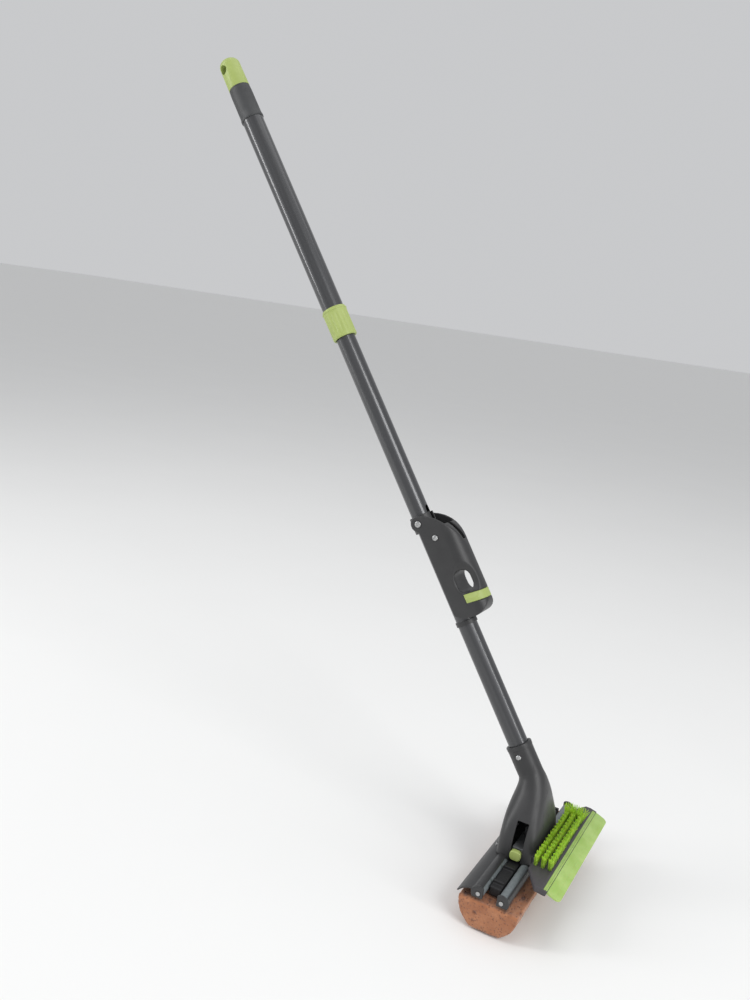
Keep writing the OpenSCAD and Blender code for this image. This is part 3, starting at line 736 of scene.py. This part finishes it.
def button_piece(name, node):
    """Release button with a domed face."""
    low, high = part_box(node)
    side = math.copysign(1, low.x + high.x)
    face = max(abs(low.x), abs(high.x))
    head = face - 6.2 * MM
    form = bmesh.new()
    bmesh.ops.create_cube(form, size=1.0)
    for vertex in form.verts:
        vertex.co = Vector((side * (head if vertex.co.x < 0 else face), vertex.co.y * (high.y - low.y),
                            (low.z + high.z) / 2 + vertex.co.z * (high.z - low.z)))
    bmesh.ops.recalc_face_normals(form, faces=form.faces)
    upright = [edge for edge in form.edges
               if abs(edge.verts[0].co.x - edge.verts[1].co.x) > MM]
    bmesh.ops.bevel(form, geom=upright, offset=4.4 * MM, affect="EDGES", segments=6, profile=0.5, material=-1)
    rim = [edge for edge in form.edges
           if all(abs(abs(vertex.co.x) - face) < 0.01 * MM for vertex in edge.verts)]
    bmesh.ops.bevel(form, geom=rim, offset=1.5 * MM, affect="EDGES", segments=4, profile=0.5, material=-1)
    bmesh.ops.recalc_face_normals(form, faces=form.faces)
    assemble(add_mesh(name, form), node, crease=50)


# ---- rollers --------------------------------------------------------------------


def roller_piece(name, node):
    """Foam-skinned roller with turned end collars, along X."""
    low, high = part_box(node)
    radius = (high.z - low.z) / 2
    bore = 2.55 * MM
    half = (high.x - low.x) / 2
    profile = [(bore, -half), (radius - 1.6 * MM, -half), (radius - 1.2 * MM, -half + 1.2 * MM)]
    profile += arc(radius - 0.8 * MM, -half + 2.2 * MM, 0.8 * MM, -90, 0, 4)
    profile += [(radius, -half + i * half / 20) for i in range(1, 40)]
    profile += arc(radius - 0.8 * MM, half - 2.2 * MM, 0.8 * MM, 0, 90, 4)
    profile += [(radius - 1.2 * MM, half - 1.2 * MM), (radius - 1.6 * MM, half), (bore, half)]
    form = lathe(profile, segments=48)
    bmesh.ops.rotate(form, verts=form.verts, cent=(0, 0, 0), matrix=Matrix.Rotation(math.radians(90), 3, "Y"))
    bmesh.ops.translate(form, verts=form.verts, vec=(low + high) / 2)
    assemble(add_mesh(name, form), node, material=FOAM)


# ---- sponge ---------------------------------------------------------------------


def sponge_piece():
    """Cut sponge block, round underneath, with open pores pressed into its skin."""
    low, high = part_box("sponge")
    inset = 2.0 * MM
    half = (high.x - low.x) / 2 - 1 * MM
    radius = (high.y - low.y) / 2 - inset
    top = high.z - inset
    middle = high.z - 4 * MM
    sole = math.degrees(math.asin((middle - low.z - inset) / radius))
    rise = math.degrees(math.asin((top - middle) / radius))
    outline = arc(0, middle, radius, rise, -sole, 30) + arc(0, middle, radius, sole - 180, -180 - rise, 30)
    made = add_mesh("sponge_block", along_x(prism(outline, -half, half)))
    cast = made.modifiers.new("cast", "REMESH")
    cast.mode = "VOXEL"
    cast.voxel_size = 1.7 * MM
    settle(made)
    form = bmesh.new()
    form.from_mesh(made.data)
    for _ in range(2):
        bmesh.ops.smooth_vert(form, verts=form.verts, factor=0.5,
                              use_axis_x=True, use_axis_y=True, use_axis_z=True)
    form.normal_update()
    moved = []
    for vertex in form.verts:
        spot = vertex.co / MM
        drawn = Vector((spot.x / 8.4, spot.y / 4.2, spot.z / 4.2)) + noise.noise_vector(spot / 4) * 0.35
        pores = noise.voronoi(drawn)[0][0]
        pit = max(0.0, 0.36 - pores) * 2.8
        swell = noise.noise(spot / 19) * 0.45 + noise.noise(spot / 6) * 0.3
        moved.append(vertex.co + vertex.normal * (swell - pit) * MM)
    for vertex, place in zip(form.verts, moved):
        vertex.co = Vector((place.x, place.y, max(place.z, low.z)))
    form.to_mesh(made.data)
    form.free()
    assemble(made, "sponge", crease=80)
    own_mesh(made)


# ---- brush and blade ------------------------------------------------------------


def bristle_piece():
    """Three rows of tufts, each a bundle of nylon filaments that opens at the top."""
    low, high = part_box("brush_bristles")
    rows, tufts, filaments = 3, 17, 26
    row_width = 6 * MM
    length = high.z - low.z
    pitch = (high.x - low.x) / tufts
    thickness = 0.4 * MM
    dice = random.Random(11)
    form = bmesh.new()
    for row in range(rows):
        y = low.y + row_width / 2 + row * (high.y - low.y - row_width) / (rows - 1)
        for tuft in range(tufts):
            x = low.x + (tuft + 0.5) * pitch
            wild = max(0, tuft - tufts + 3) * 0.11
            for strand in range(filaments):
                turn = strand * 2.4
                root = 2.1 * MM * math.sqrt((strand + 0.5) / filaments)
                opening = 0.015 + wild * 0.8 + 0.03 * dice.random()
                spread = opening * root / MM
                tilt = Vector((math.cos(turn) * spread + wild * 0.3, math.sin(turn) * spread, 1))
                tall = length * (0.9 + 0.12 * dice.random() + wild * 1.2)
                foot = Vector((x + root * math.cos(turn), y + root * math.sin(turn), low.z - 1 * MM))
                middle = foot + tilt.normalized() * (tall + 1 * MM) / 2
                spin = tilt.to_track_quat("Z", "Y").to_matrix().to_4x4()
                bmesh.ops.create_cone(form, cap_ends=True, segments=5,
                                      radius1=thickness, radius2=thickness * 0.8,
                                      depth=tall + 1 * MM, matrix=Matrix.Translation(middle) @ spin)
    assemble(add_mesh("bristle_tufts", form), "brush_bristles", crease=80)


def blade_piece():
    """Rubber lip with rounded corners that thins towards its working edge."""
    low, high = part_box("squeegee_blade")
    half = (high.x - low.x) / 2
    slope = math.radians(20)
    thickness = 3 * MM
    matrix = Matrix.Translation((low + high) / 2) @ Matrix.Rotation(slope, 4, "X")
    width = (high.y - low.y - thickness * math.sin(slope)) / math.cos(slope)
    corner = 6 * MM
    taper_run = 12 * MM
    outline = [(half, width / 2), (-half, width / 2)]
    outline += arc(-half + corner, -width / 2 + corner, corner, 180, 270, 8)
    outline += arc(half - corner, -width / 2 + corner, corner, 270, 360, 8)
    form = prism(outline, -thickness / 2, thickness / 2)
    for i in range(1, 7):
        everything = form.verts[:] + form.edges[:] + form.faces[:]
        edge = Vector((0, -width / 2 + i * taper_run / 6, 0))
        bmesh.ops.bisect_plane(form, geom=everything, plane_co=edge, plane_no=(0, 1, 0))
    root = width / 2 - 5.6 * MM
    everything = form.verts[:] + form.edges[:] + form.faces[:]
    bmesh.ops.bisect_plane(form, geom=everything, plane_co=(0, root, 0), plane_no=(0, 1, 0))
    for vertex in form.verts:
        share = min((vertex.co.y + width / 2) / taper_run, 1)
        vertex.co.z *= 0.5 + 0.5 * share ** 0.7
        if vertex.co.y > root + 0.1 * MM:
            vertex.co.z *= 0.4
    made = add_mesh("wiper_lip", form)
    made.data.transform(matrix)
    soften(made, 0.45 * MM, 2, 50)
    assemble(made, "squeegee_blade", crease=45)


# ---- assembly -------------------------------------------------------------------

place_camera()
light_studio()
tube_piece("outer_pole", "upper_tube", 1.2 * MM)
lower_tube_piece()
lock_collar_piece()
grip_piece()
hang_cap_piece()
fasteners()
housing_piece()
button_piece("left_release_button", "left_button")
button_piece("right_release_button", "right_button")
roller_piece("front_wringer_roller", "front_roller")
roller_piece("rear_wringer_roller", "rear_roller")
sponge_piece()
bristle_piece()
blade_piece()
moulded("lever_body", 0.9 * MM, 0.35, 6)
moulded("lever_insert", 0.5 * MM, 0.5, 4)
moulded("accessory_holder", 0.8 * MM, 0.4, 4, material=HOLDER_GREY)
moulded("front_rail", 0.7 * MM, 0.4, 3)
moulded("rear_rail", 0.7 * MM, 0.4, 3)
for plain in ("pivot_sleeve", "lever_clip", "collet", "rod_head", "rod_clevis", "drive_link", "carrier"):
    moulded(plain, 0.5 * MM, 0.4, 3)
# The backing gets the near-black material: painted shade where it shows between the rollers.
moulded("sponge_backing", 0.6 * MM, 0.4, 3, material=BACKING_PAINTED_SHADE)
for node, part in nodes.items():
    if not part.hide_render:
        part.data.materials.clear()
        part.data.materials.append(FINISHES[slot_of[node]])

floor_form = bmesh.new()
bmesh.ops.create_grid(floor_form, x_segments=1, y_segments=1, size=60)
floor = add_mesh("floor", floor_form)
floor_paint = Finish("pale_floor", Roughness=0.85)
floor_paint.colour(floor_paint.mix(floor_paint.clouds(3, 2), (0.84, 0.84, 0.83), (0.86, 0.86, 0.85)))
floor.data.materials.append(floor_paint.material)
